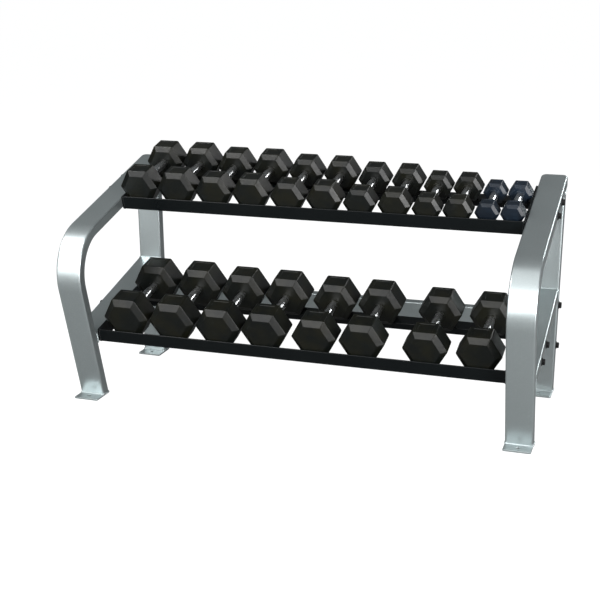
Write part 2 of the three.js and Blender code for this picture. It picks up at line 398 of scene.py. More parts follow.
@dataclass(frozen=True)
class PowderCoat(Finish):
    """Polyester powder sprayed dry on steel and baked.

    The melt leaves a faint orange-peel skin over the metal, with a satin gloss. A silver coat holds
    aluminium flakes, which make it glitter finely.
    """

    colour: str
    shade: str
    flake: str
    metallic: float
    roughness: float
    flake_share: float
    peel_depth_mm: float
    peel_mm: float = 2.6
    # Real flakes are under 0.1 mm, too fine to show, so they are drawn coarser.
    flake_mm: float = 1.4
    cloud_mm: float = 160.0
    specular: float = 0.5

    def paint(self, tree: NodeTree, place: NodeSocket) -> Node:
        """Adds a drifting tone, flakes and orange peel.

        Args:
            tree: The material's tree.
            place: The object coordinates, in metres.

        Returns:
            The shader node.
        """
        cloud = add_node(tree, "ShaderNodeTexNoise", {
            "Vector": place, "Scale": per_metre(self.cloud_mm), "Detail": 4.0, "Roughness": 0.6,
        })
        grain = add_node(tree, "ShaderNodeTexNoise", {
            "Vector": place, "Scale": per_metre(self.flake_mm), "Detail": 2.0, "Roughness": 0.7,
        })
        # The powder's thickness drifts over a hand's breadth, so the tone does too.
        tone = add_node(tree, "ShaderNodeMix", {
            0: cloud.outputs["Fac"], COLOUR_A: linear(self.colour), COLOUR_B: linear(self.shade),
        }, data_type="RGBA").outputs[MIXED]
        colour = blend(
            tree, grain.outputs["Fac"], (0.56, 0.72), self.flake_share, tone, linear(self.flake)
        )
        gloss = add_node(tree, "ShaderNodeMapRange", {
            "Value": cloud.outputs["Fac"],
            "From Min": 0.3, "From Max": 0.7,
            "To Min": self.roughness - 0.04, "To Max": self.roughness + 0.05,
        })
        peel = add_node(tree, "ShaderNodeTexNoise", {
            "Vector": place, "Scale": per_metre(self.peel_mm), "Detail": 2.0, "Roughness": 0.45,
        })
        skin_bump = add_node(tree, "ShaderNodeBump", {
            "Height": peel.outputs["Fac"], "Strength": 1.0, "Distance": self.peel_depth_mm * MM,
        })
        return add_node(tree, "ShaderNodeBsdfPrincipled", {
            "Base Color": colour, "Metallic": self.metallic,
            "Roughness": gloss.outputs["Result"], "Normal": skin_bump.outputs["Normal"],
            "Specular IOR Level": self.specular,
        })


@dataclass(frozen=True)
class BlackOxide(Finish):
    """Steel fasteners blackened hot in oxide salts and oiled.

    The skin is thin, so it keeps the steel's machined shape: dark, slightly brown, softly shining,
    with lighter metal where it has been rubbed.
    """

    name: str = "black_oxide_steel"
    colour: str = "#1b1b1c"
    rubbed: str = "#3a3836"
    blotch_mm: float = 7.0
    tooling_mm: float = 0.8

    def paint(self, tree: NodeTree, place: NodeSocket) -> Node:
        """Adds rubbed blotches and tool marks.

        Args:
            tree: The material's tree.
            place: The object coordinates, in metres.

        Returns:
            The shader node.
        """
        blotch = add_node(tree, "ShaderNodeTexNoise", {
            "Vector": place, "Scale": per_metre(self.blotch_mm), "Detail": 5.0, "Roughness": 0.65,
        }).outputs["Fac"]
        colour = blend(tree, blotch, (0.52, 0.75), 0.8, linear(self.colour), linear(self.rubbed))
        gloss = add_node(tree, "ShaderNodeMapRange", {"Value": blotch, "To Min": 0.5, "To Max": 0.34})
        tooling = add_node(tree, "ShaderNodeTexNoise", {
            "Vector": place, "Scale": per_metre(self.tooling_mm), "Detail": 2.0,
        })
        marks = add_node(tree, "ShaderNodeBump", {
            "Height": tooling.outputs["Fac"], "Strength": 0.7, "Distance": 0.03 * MM,
        })
        return add_node(tree, "ShaderNodeBsdfPrincipled", {
            "Base Color": colour, "Metallic": 0.7,
            "Roughness": gloss.outputs["Result"], "Normal": marks.outputs["Normal"],
        })


@dataclass(frozen=True)
class MouldedRubber(Finish):
    """Vulcanised rubber, compression moulded over a cast iron head.

    The mould was bead blasted, so the skin is finely pebbled and dull. Handling leaves brownish
    patches, a pale bloom and places that shine a little more.
    """

    colour: str
    tint: str
    bloom: str
    roughness: float = 0.37
    specular: float = 0.2
    # A blasted mould's pebbles are about 0.2 mm, too fine to show, so they are drawn coarser.
    pebble_mm: float = 1.3
    dent_mm: float = 14.0
    patch_mm: float = 60.0
    scuff_mm: float = 22.0

    def paint(self, tree: NodeTree, place: NodeSocket) -> Node:
        """Adds patches, scuffs, dents and pebbles.

        Args:
            tree: The material's tree.
            place: The object coordinates, in metres.

        Returns:
            The shader node.
        """
        patch = add_node(tree, "ShaderNodeTexNoise", {
            "Vector": place, "Scale": per_metre(self.patch_mm), "Detail": 4.0, "Roughness": 0.55,
        }).outputs["Fac"]
        base = blend(tree, patch, (0.38, 0.66), 1.0, linear(self.colour), linear(self.tint))
        # Scuffs run mostly the way the heads slide on the rails, so the pattern is drawn out along Y.
        drawn_out = add_node(tree, "ShaderNodeMapping", {"Vector": place, "Scale": (1.0, 0.35, 1.0)})
        scuff = add_node(tree, "ShaderNodeTexNoise", {
            "Vector": drawn_out.outputs["Vector"], "Scale": per_metre(self.scuff_mm),
            "Detail": 7.0, "Roughness": 0.72,
        })
        colour = blend(tree, scuff.outputs["Fac"], (0.56, 0.76), 0.4, base, linear(self.bloom))
        gloss = add_node(tree, "ShaderNodeMapRange", {
            "Value": patch, "From Min": 0.3, "From Max": 0.7,
            "To Min": self.roughness + 0.06, "To Max": self.roughness - 0.06,
        })
        pebble = add_node(tree, "ShaderNodeTexNoise", {
            "Vector": place, "Scale": per_metre(self.pebble_mm), "Detail": 2.0, "Roughness": 0.5,
        })
        dents = add_node(tree, "ShaderNodeTexNoise", {
            "Vector": place, "Scale": per_metre(self.dent_mm), "Detail": 2.0,
        })
        broad = add_node(tree, "ShaderNodeBump", {
            "Height": dents.outputs["Fac"], "Strength": 0.6, "Distance": 0.5 * MM,
        })
        fine = add_node(tree, "ShaderNodeBump", {
            "Height": pebble.outputs["Fac"], "Strength": 1.0, "Distance": 0.07 * MM,
            "Normal": broad.outputs["Normal"],
        })
        return add_node(tree, "ShaderNodeBsdfPrincipled", {
            "Base Color": colour, "Metallic": 0.0, "IOR": 1.5,
            "Roughness": gloss.outputs["Result"], "Normal": fine.outputs["Normal"],
            "Specular IOR Level": self.specular,
        })


@dataclass(frozen=True)
class ChromePlate(Finish):
    """Bright chrome electroplated over turned and knurled steel.

    It mirrors the room, with hairlines round the bar from polishing and smears of grease from hands.
    """

    name: str = "chrome_plated_steel"
    colour: str = "#d3d6d8"
    grease: str = "#8e8c86"
    roughness: float = 0.2
    # Polishing leaves hairlines of a few hundredths, too fine to show, so they are drawn coarser.
    hairline_mm: float = 1.1
    grease_mm: float = 18.0

    def paint(self, tree: NodeTree, place: NodeSocket) -> Node:
        """Adds smears and hairlines.

        Args:
            tree: The material's tree.
            place: The object coordinates, in metres.

        Returns:
            The shader node.
        """
        smear = add_node(tree, "ShaderNodeTexNoise", {
            "Vector": place, "Scale": per_metre(self.grease_mm), "Detail": 4.0, "Roughness": 0.6,
        }).outputs["Fac"]
        colour = blend(tree, smear, (0.45, 0.75), 0.7, linear(self.colour), linear(self.grease))
        gloss = add_node(tree, "ShaderNodeMapRange", {
            "Value": smear, "From Min": 0.35, "From Max": 0.7,
            "To Min": self.roughness, "To Max": self.roughness + 0.16,
        })
        stretched = add_node(tree, "ShaderNodeMapping", {"Vector": place, "Scale": (0.25, 2.5, 0.25)})
        hairline = add_node(tree, "ShaderNodeTexNoise", {
            "Vector": stretched.outputs["Vector"], "Scale": per_metre(self.hairline_mm), "Detail": 3.0,
        })
        lines = add_node(tree, "ShaderNodeBump", {
            "Height": hairline.outputs["Fac"], "Strength": 0.5, "Distance": 0.02 * MM,
        })
        return add_node(tree, "ShaderNodeBsdfPrincipled", {
            "Base Color": colour, "Metallic": 1.0,
            "Roughness": gloss.outputs["Result"], "Normal": lines.outputs["Normal"],
        })


@dataclass(frozen=True)
class StudioPaper(Finish):
    """A pale seamless paper floor on a light table: matt, evenly white, with only a trace of tooth."""

    name: str = "pale_studio_paper"
    colour: str = "#6c6d6d"
    glow: float = 0.93
    tooth_mm: float = 3.0

    def paint(self, tree: NodeTree, place: NodeSocket) -> Node:
        """Adds the paper's tooth and the table's glow.

        Args:
            tree: The material's tree.
            place: The object coordinates, in metres.

        Returns:
            The shader node.
        """
        tooth = add_node(tree, "ShaderNodeTexNoise", {"Vector": place, "Scale": per_metre(self.tooth_mm)})
        bump = add_node(tree, "ShaderNodeBump", {
            "Height": tooth.outputs["Fac"], "Strength": 0.2, "Distance": 0.05 * MM,
        })
        # The table's glow whitens the floor to the eye but isn't let onto the object.
        ray = add_node(tree, "ShaderNodeLightPath")
        glow = add_node(tree, "ShaderNodeMath", {
            0: ray.outputs["Is Camera Ray"], 1: self.glow,
        }, operation="MULTIPLY")
        return add_node(tree, "ShaderNodeBsdfPrincipled", {
            "Base Color": linear(self.colour), "Roughness": 0.9,
            "Specular IOR Level": 0.1, "Normal": bump.outputs["Normal"],
            "Emission Color": linear("#ffffff"), "Emission Strength": glow.outputs[0],
        })


class Finishes:
    """Every material of the rack and its dumbbells, made once."""

    def __init__(self) -> None:
        """Builds the materials."""
        self.silver = PowderCoat(
            name="silver_metallic_powder_coat", colour="#aab2b3", shade="#9aa2a3", flake="#d2d7d8",
            metallic=0.88, roughness=0.33, flake_share=0.5, peel_depth_mm=0.05,
        ).build()
        self.black = PowderCoat(
            name="black_satin_powder_coat", colour="#040607", shade="#06090a", flake="#101516",
            metallic=0.0, roughness=0.3, flake_share=0.3, peel_depth_mm=0.05, specular=0.16,
        ).build()
        self.bolt = BlackOxide().build()
        self.rubber = MouldedRubber("black_moulded_rubber", "#050706", "#0f0f09", "#1c201e").build()
        self.blue_rubber = MouldedRubber("blue_black_moulded_rubber", "#0a1017", "#111a24", "#28333e").build()
        self.chrome = ChromePlate().build()
        self.floor = StudioPaper().build()


# ---- Geometry Nodes -----------------------------------------------------------------------


@dataclass
class NodeProgram:
    """A Geometry Nodes tree with named inputs for its sizes."""

    name: str
    sizes: dict[str, float | int | Object]
    tree: GeometryNodeTree = field(init=False)
    entry: Node = field(init=False)
    exit: Node = field(init=False)
    sockets: dict[str, str] = field(init=False, default_factory=dict)

    def __post_init__(self) -> None:
        """Makes the tree's interface."""
        self.tree = bpy.data.node_groups.new(self.name, "GeometryNodeTree")
        face = self.tree.interface
        face.new_socket(name="Geometry", in_out="INPUT", socket_type="NodeSocketGeometry")
        face.new_socket(name="Geometry", in_out="OUTPUT", socket_type="NodeSocketGeometry")
        for label, value in self.sizes.items():
            kind = "NodeSocketFloat"
            if isinstance(value, Object):
                kind = "NodeSocketObject"
            elif isinstance(value, int):
                kind = "NodeSocketInt"
            self.sockets[label] = face.new_socket(name=label, in_out="INPUT", socket_type=kind).identifier
        self.entry = self.tree.nodes.new("NodeGroupInput")
        self.exit = self.tree.nodes.new("NodeGroupOutput")

    def add(self, kind: str, inputs: dict | None = None, **settings: Any) -> Node:
        """Adds a node to this tree, as add_node does."""
        return add_node(self.tree, kind, inputs, **settings)

    def given(self, label: str) -> NodeSocket:
        """The socket that carries a named input."""
        return self.entry.outputs[label]

    def math(self, operation: str, first: Any, second: Any = 0.0) -> NodeSocket:
        """The result of one sum on two values."""
        return self.add("ShaderNodeMath", {0: first, 1: second}, operation=operation).outputs[0]

    def close(self, shape: NodeSocket, material: Material) -> None:
        """Ends the tree: instances made real, then the material.

        Args:
            shape: The geometry that the tree has made.
            material: Its material.
        """
        real = self.add("GeometryNodeRealizeInstances", {"Geometry": shape})
        dressed = self.add("GeometryNodeSetMaterial", {"Geometry": real.outputs[0], "Material": material})
        self.tree.links.new(dressed.outputs[0], self.exit.inputs[0])

    def run(self, piece: Object, **values: float | int | Object) -> None:
        """Turns a piece's mesh into what the tree makes of it.

        Args:
            piece: The object whose mesh goes in and whose mesh is replaced.
            values: Sizes that differ from the tree's own, with underscores for spaces.
        """
        modifier = piece.modifiers.new(self.name, "NODES")
        modifier.node_group = self.tree
        settings = self.sizes | {key.replace("_", " "): value for key, value in values.items()}
        for label, value in settings.items():
            modifier[self.sockets[label]] = value
        depsgraph = bpy.context.evaluated_depsgraph_get()
        made = bpy.data.meshes.new_from_object(piece.evaluated_get(depsgraph), depsgraph=depsgraph)
        piece.modifiers.remove(modifier)
        made.name = piece.name
        piece.data = made


def weld_program(material: Material) -> NodeProgram:
    """Builds the tree that lays a rippled weld bead along a mesh's edges.

    Args:
        material: The bead's material.

    Returns:
        The program; its sizes are in metres.
    """
    program = NodeProgram("weld_bead", {"Bead Radius": 3.0 * MM, "Ripple Pitch": 2.3 * MM, "Seed": 7})
    path = program.add("GeometryNodeMeshToCurve", {"Mesh": program.given("Geometry")})
    spots = program.add("GeometryNodeResampleCurve", {
        "Curve": path.outputs[0], "Length": program.given("Ripple Pitch"),
    }, mode="LENGTH")
    along = program.add("GeometryNodeInputTangent").outputs[0]
    turn = program.add("FunctionNodeAlignRotationToVector", {"Vector": along}, axis="Z")
    ripple = program.add("GeometryNodeMeshUVSphere", {"Segments": 8, "Rings": 5, "Radius": 1.0})
    uneven = program.add("FunctionNodeRandomValue", {
        2: 0.86, 3: 1.08, "Seed": program.given("Seed"),
    }, data_type="FLOAT").outputs[1]
    across = program.math("MULTIPLY", program.given("Bead Radius"), uneven)
    # Each ripple is shorter along the bead than across it.
    ripple_share = 0.72
    scale = program.add("ShaderNodeCombineXYZ", {
        "X": across, "Y": across, "Z": program.math("MULTIPLY", across, ripple_share),
    })
    laid = program.add("GeometryNodeInstanceOnPoints", {
        "Points": spots.outputs[0], "Instance": ripple.outputs[0],
        "Rotation": turn.outputs[0], "Scale": scale.outputs[0],
    })
    smooth = program.add("GeometryNodeSetShadeSmooth", {0: laid.outputs[0]})
    program.close(smooth.outputs[0], material)
    return program


def knurl_program(material: Material) -> NodeProgram:
    """Builds the tree that turns and knurls a contoured dumbbell handle along Y.

    Args:
        material: The handle's material.

    Returns:
        The program; lengths are in metres.
    """
    program = NodeProgram("knurled_handle", {
        "Length": 0.15, "Neck Radius": 11.5 * MM, "Swell": 3.5 * MM, "Flare": 3.5 * MM,
        "Knurl Depth": 0.75 * MM, "Diamonds Round": 16.0, "Diamond Pitch": 5.5 * MM,
        "Steps Along": 121, "Steps Round": 65,
    })
    calc = program.math
    hump_power, flare_power = 2.2, 26.0
    knurl_ends, knurl_full = 0.72, 0.66
    nearly_one = 0.9999
    sheet = program.add("GeometryNodeMeshGrid", {
        "Size X": 1.0, "Size Y": 1.0,
        "Vertices X": program.given("Steps Along"), "Vertices Y": program.given("Steps Round"),
    })
    spot = program.add("ShaderNodeSeparateXYZ", {
        0: program.add("GeometryNodeInputPosition").outputs[0],
    })
    end_share = calc("MULTIPLY", calc("ABSOLUTE", spot.outputs["X"]), 2.0)
    turn = calc("MULTIPLY", spot.outputs["Y"], math.tau)
    place = calc("MULTIPLY", spot.outputs["X"], program.given("Length"))
    # The grip is fattest in the middle, and flares again where it enters the heads.
    hump = calc("SUBTRACT", 1.0, calc("POWER", end_share, hump_power))
    swell = calc("MULTIPLY", program.given("Swell"), hump)
    flare_share = calc("POWER", end_share, flare_power)
    flare = calc("MULTIPLY", program.given("Flare"), flare_share)
    smooth_radius = calc("ADD", program.given("Neck Radius"), calc("ADD", swell, flare))
    # Two opposed families of grooves leave a diamond between them.
    across = calc("MULTIPLY", turn, calc("MULTIPLY", program.given("Diamonds Round"), 0.5))
    lengthwise = calc(
        "MULTIPLY", place, calc("DIVIDE", math.pi, program.given("Diamond Pitch"))
    )
    one = calc("ABSOLUTE", calc("SINE", calc("ADD", across, lengthwise)))
    other = calc("ABSOLUTE", calc("SINE", calc("SUBTRACT", across, lengthwise)))
    diamond = calc("SQRT", calc("MULTIPLY", one, other))
    knurled = program.add("ShaderNodeMapRange", {
        "Value": end_share, "From Min": knurl_ends, "From Max": knurl_full,
    }).outputs["Result"]
    relief = calc("MULTIPLY", program.given("Knurl Depth"), calc("MULTIPLY", diamond, knurled))
    open_end = calc("LESS_THAN", end_share, nearly_one)
    radius = calc("MULTIPLY", calc("ADD", smooth_radius, relief), open_end)
    ring = program.add("ShaderNodeCombineXYZ", {
        "X": calc("MULTIPLY", radius, calc("SINE", turn)),
        "Y": place,
        "Z": calc("MULTIPLY", radius, calc("COSINE", turn)),
    })
    turned = program.add("GeometryNodeSetPosition", {
        "Geometry": sheet.outputs["Mesh"], "Position": ring.outputs[0],
    })
    closed = program.add("GeometryNodeMergeByDistance", {
        "Geometry": turned.outputs[0], "Distance": 0.01 * MM,
    })
    smooth = program.add("GeometryNodeSetShadeSmooth", {0: closed.outputs[0]})
    program.close(smooth.outputs[0], material)
    return program


def bolt_program(material: Material, bolt: Object) -> NodeProgram:
    """Builds the tree that stands a bolt at each vertex of a mesh, turned by its own angle.

    Args:
        material: The bolts' material.
        bolt: The bolt to repeat, its head towards -X.

    Returns:
        The program.
    """
    program = NodeProgram("bolt_row", {"Bolt": bolt, "Seed": 11})
    model = program.add("GeometryNodeObjectInfo", {"Object": program.given("Bolt")})
    facing = program.add("GeometryNodeInputNamedAttribute", {"Name": "facing"}, data_type="FLOAT").outputs[0]
    tightened = program.add("FunctionNodeRandomValue", {
        2: 0.0, 3: math.pi / 3, "Seed": program.given("Seed"),
    }, data_type="FLOAT").outputs[1]
    rotation = program.add("ShaderNodeCombineXYZ", {"X": tightened, "Z": facing})
    placed = program.add("GeometryNodeInstanceOnPoints", {
        "Points": program.given("Geometry"), "Instance": model.outputs["Geometry"],
        "Rotation": rotation.outputs[0],
    })
    program.close(placed.outputs[0], material)
    return program


# ---- Sizes shared by the frame's members --------------------------------------------------


@dataclass(frozen=True)
class FlatTube:
    """The one steel tube that every silver member is cut from, sizes in metres."""

    width: float = 88.9 * MM
    depth: float = 38.1 * MM
    corner: float = 6.0 * MM

    def section(self, steps: int = 5) -> list[Point]:
        """The outline, width first, round the tube's middle line."""
        return rounded_rectangle(self.width, self.depth, self.corner, steps)


@dataclass(frozen=True)
class SideView:
    """Places in the side view, in metres, counted from the front leg's face at the floor."""

    angle: float = math.radians(15)
    bend_height: float = 572 * MM
    bend_radius: float = 170 * MM
    top_end: float = 574 * MM
    brace_top: float = 382 * MM
    shelf_tilt: float = math.radians(13.5)
    cap_length: float = 20 * MM
    gap: float = 0.3 * MM

    @property
    def up_leg(self) -> Vector:
        """The direction up the leaning leg, as (y, z)."""
        return Vector((-math.sin(self.angle), math.cos(self.angle)))

    @property
    def along_top(self) -> Vector:
        """The direction back along the sloping members, as (y, z)."""
        return Vector((math.cos(self.angle), math.sin(self.angle)))

    @property
    def bend_corner(self) -> Vector:
        """Where the leg's and the top's outer faces would meet."""
        return Vector((-math.tan(self.angle) * self.bend_height, self.bend_height))


TUBE = FlatTube()
VIEW = SideView()
# The front foot plate reaches this far out before the leg.
FOOT_AHEAD = 52 * MM
LEG_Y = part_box("left_front_foot_plate")[0][1] + FOOT_AHEAD
OUTER_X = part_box("left_rear_upright")[0][0]
FRAME_X = OUTER_X + TUBE.width / 2
FOOT_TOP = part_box("left_front_foot_plate")[1][2]
UPRIGHT_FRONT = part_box("left_rear_upright")[0][1] - LEG_Y


def in_side(x: float, place: Vector) -> Vector:
    """Turns a side-view place into a place in the frame, at a given X."""
    return Vector((x, place.x + LEG_Y, place.y))


@dataclass(frozen=True)
class Cut:
    """A straight saw cut in the side view: a point on it and its normal."""

    point: Vector
    normal: Vector

    def reach(self, start: Vector, direction: Vector) -> Vector:
        """Slides a side-view place along a direction until it lies on the cut."""
        distance = (self.point - start).dot(self.normal) / direction.dot(self.normal)
        return start + direction * distance


def straight_rings(
    middle: Vector, run: Vector, outward: Vector, first: Cut, last: Cut
) -> list[list[Vector]]:
    """Rings of a straight piece of the tube, trimmed by a cut at each end.

    Args:
        middle: A side-view place on the tube's middle line.
        run: The direction along the tube.
        outward: The direction of the face that counts as its outside.
        first: The cut at its start.
        last: The cut at its end.

    Returns:
        The two end rings, in the left frame.
    """
    rings = []
    for cut in (first, last):
        ring = []
        for across, inward in TUBE.section():
            start = middle - outward * inward
            ring.append(in_side(FRAME_X + across, cut.reach(start, run)))
        rings.append(ring)
    return rings


# ---- Side frames --------------------------------------------------------------------------


@dataclass
class SideFrame:
    """One side frame: the bent leg, upright, brace, end cap, foot plates and their welds."""

    bend_steps: int = 30
    cap_corner: float = 18 * MM
    hole_radius: float = 6.5 * MM
    cap_edge_steps: int = 5
    cap_corner_steps: int = 6
    foot_corner: float = 5 * MM
    bead_radius: float = 3.1 * MM
    rings: list[list[Vector]] = field(default_factory=list)

    def bent_leg(self) -> Object:
        """Sweeps the tube up the leg, round the shoulder and back along the sloping top.

        Returns:
            The bent tube.
        """
        up, along = VIEW.up_leg, VIEW.along_top
        half = TUBE.depth / 2
        centre = VIEW.bend_corner - up * VIEW.bend_radius + along * VIEW.bend_radius
        floor = Cut(Vector((0, FOOT_TOP + VIEW.gap)), Vector((0, 1)))
        end = self.top_end() - along * (VIEW.cap_length + VIEW.gap)
        foot = straight_rings(along * half, up, -along, floor, floor)[0]
        self.rings.append(foot)
        rings = [foot]
        for step in range(self.bend_steps + 1):
            turn = math.pi / 2 * step / self.bend_steps
            outward = up * math.sin(turn) - along * math.cos(turn)
            middle = centre + outward * (VIEW.bend_radius - half)
            rings.append([
                in_side(FRAME_X + across, middle - outward * inward) for across, inward in TUBE.section()
            ])
        last = Cut(end, along)
        rings.append(straight_rings(end - up * half, along, up, last, last)[0])
        return skin("left_leg_tube", rings)

    def top_end(self) -> Vector:
        """The rear end of the sloping top's upper face."""
        run = (VIEW.top_end - VIEW.bend_corner.x) / VIEW.along_top.x
        return VIEW.bend_corner + VIEW.along_top * run

    def end_cap(self) -> Object:
        """Makes the cap that rounds off the rear end of the sloping top.

        Returns:
            The cap.
        """
        start = self.top_end() - VIEW.along_top * VIEW.cap_length
        half = TUBE.width / 2
        levels: list[Point] = []
        for step in range(self.cap_edge_steps + 1):
            turn = math.pi / 2 * step / self.cap_edge_steps
            levels.append((TUBE.corner * (1 - math.sin(turn)), TUBE.corner * (1 - math.cos(turn))))
        levels += [(inset, TUBE.depth - down) for inset, down in reversed(levels)]
        rings = []
        for inset, down in levels:
            outline = [(-half + inset, 0.0), (half - inset, 0.0)]
            reach = self.cap_corner - inset
            for sign, begin in ((1, 0.0), (-1, math.pi / 2)):
                for step in range(self.cap_corner_steps + 1):
                    turn = begin + math.pi / 2 * step / self.cap_corner_steps
                    outline.append((
                        sign * (half - self.cap_corner) + reach * math.cos(turn),
                        VIEW.cap_length - self.cap_corner + reach * math.sin(turn),
                    ))
            rings.append([
                in_side(FRAME_X + x, start + VIEW.along_top * run - VIEW.up_leg * down) for x, run in outline
            ])
        return skin("left_top_cap", rings)

    def upright(self) -> Object:
        """Makes the rear upright, mitred under the sloping top.

        Returns:
            The upright.
        """
        up = Vector((0, 1))
        middle = Vector((UPRIGHT_FRONT + TUBE.depth / 2, 0))
        floor = Cut(Vector((0, FOOT_TOP + VIEW.gap)), up)
        under = Cut(VIEW.bend_corner - VIEW.up_leg * (TUBE.depth + VIEW.gap), VIEW.up_leg)
        rings = straight_rings(middle, up, Vector((-1, 0)), floor, under)
        self.rings += rings
        return skin("left_upright_tube", rings)

    def brace(self) -> Object:
        """Makes the lower brace, mitred to the leaning leg and to the upright.

        Returns:
            The brace.
        """
        along, up = VIEW.along_top, VIEW.up_leg
        middle = Vector((UPRIGHT_FRONT, VIEW.brace_top)) - up * TUBE.depth / 2
        front = Cut(along * (TUBE.depth + VIEW.gap), along)
        rear = Cut(Vector((UPRIGHT_FRONT - VIEW.gap, 0)), Vector((1, 0)))
        rings = straight_rings(middle, along, up, front, rear)
        self.rings += rings
        return skin("left_brace_tube", rings)

    def foot_plate(self, name: str, node: str) -> Object:
        """Makes a foot plate with its anchor hole.

        Args:
            name: The piece's name.
            node: The CAD node whose place it takes.

        Returns:
            The plate.
        """
        low, high = box_of(node)
        outline = fillet(
            [(low.x, low.y), (high.x, low.y), (high.x, high.y), (low.x, high.y)], self.foot_corner, 5
        )
        hole = (FRAME_X, low.y + FOOT_AHEAD / 2)
        axes = Matrix.Translation((0, 0, low.z))
        return pierced_plate(name, outline, [hole], self.hole_radius, high.z - low.z, axes)

    def welds(self, program: NodeProgram) -> Object:
        """Lays a bead round the end of every welded member.

        Args:
            program: The weld bead program.

        Returns:
            The beads of one frame.
        """
        piece = weld_paths("left_frame_welds", self.rings)
        program.run(piece, Bead_Radius=self.bead_radius)
        return piece

    def build(self, finishes: Finishes, beads: NodeProgram) -> None:
        """Builds and dresses both side frames.

        Args:
            finishes: The materials.
            beads: The weld bead program.
        """
        made = [
            (self.bent_leg(), ["bent_leg"]),
            (self.end_cap(), ["top_end_cap"]),
            (self.upright(), ["rear_upright"]),
            (self.brace(), ["lower_brace"]),
            (self.foot_plate("left_front_foot", "left_front_foot_plate"), ["front_foot_plate"]),
            (self.foot_plate("left_rear_foot", "left_rear_foot_plate"), ["rear_foot_plate"]),
            (self.welds(beads), []),
        ]
        for left, nodes in made:
            right = mirrored(left.name.replace("left_", "right_"), left)
            for side, piece in ((Side.LEFT, left), (Side.RIGHT, right)):
                dress(piece, finishes.silver, Slot.SILVER, RACK, *(f"{side.label}_{node}" for node in nodes))
                if nodes:
                    even_normals(piece)


def pierced_plate(
    name: str,
    outline: Sequence[Point],
    holes: Sequence[Point],
    radius: float,
    thickness: float,
    axes: Matrix,
    edge: float = 0.9 * MM,
    hole_sides: int = 28,
) -> Object:
    """Makes a flat plate with round holes and softened edges.

    Args:
        name: The piece's name.
        outline: The plate's outline.
        holes: The holes' middles.
        radius: The holes' radius.
        thickness: The plate's thickness, along the third axis.
        axes: The matrix that puts the plate in place.
        edge: The width of the softened edges.
        hole_sides: The segments round a hole.

    Returns:
        The plate.
    """
    work = bmesh.new()
    loops = [list(outline)]
    for across, along in holes:
        turns = [math.tau * step / hole_sides for step in range(hole_sides)]
        loops.append([(across + radius * math.cos(t), along + radius * math.sin(t)) for t in turns])
    edges = []
    for loop in loops:
        corners = [work.verts.new((u, v, 0)) for u, v in loop]
        edges += [work.edges.new((corners[i - 1], corners[i])) for i in range(len(corners))]
    bmesh.ops.triangle_fill(work, use_beauty=True, use_dissolve=False, edges=edges)
    raised = bmesh.ops.extrude_face_region(work, geom=list(work.faces))["geom"]
    lifted = [item for item in raised if isinstance(item, bmesh.types.BMVert)]
    bmesh.ops.translate(work, verts=lifted, vec=(0, 0, thickness))
    bmesh.ops.recalc_face_normals(work, faces=work.faces)
    square = math.radians(60)
    rims = [e for e in work.edges if len(e.link_faces) == 2 and e.calc_face_angle() > square]
    bmesh.ops.bevel(work, geom=rims, offset=edge, segments=2, profile=0.5, affect="EDGES")
    work.transform(axes)
    mesh = bpy.data.meshes.new(name)
    work.to_mesh(mesh)
    work.free()
    piece = new_object(name, mesh)
    finish_mesh(piece)
    return piece


def weld_paths(name: str, loops: Sequence[Sequence[Vector]]) -> Object:
    """Makes a wire mesh of closed loops for the weld bead program to follow.

    Args:
        name: The object's name.
        loops: The loops' points.

    Returns:
        The wire object.
    """
    points: list[Vector] = []
    edges: list[tuple[int, int]] = []
    for loop in loops:
        base = len(points)
        points += loop
        edges += [(base + i, base + (i + 1) % len(loop)) for i in range(len(loop))]
    mesh = bpy.data.meshes.new(name)
    mesh.from_pydata([tuple(p) for p in points], edges, [])
    return new_object(name, mesh)


# ---- Shelves and crossbar -----------------------------------------------------------------


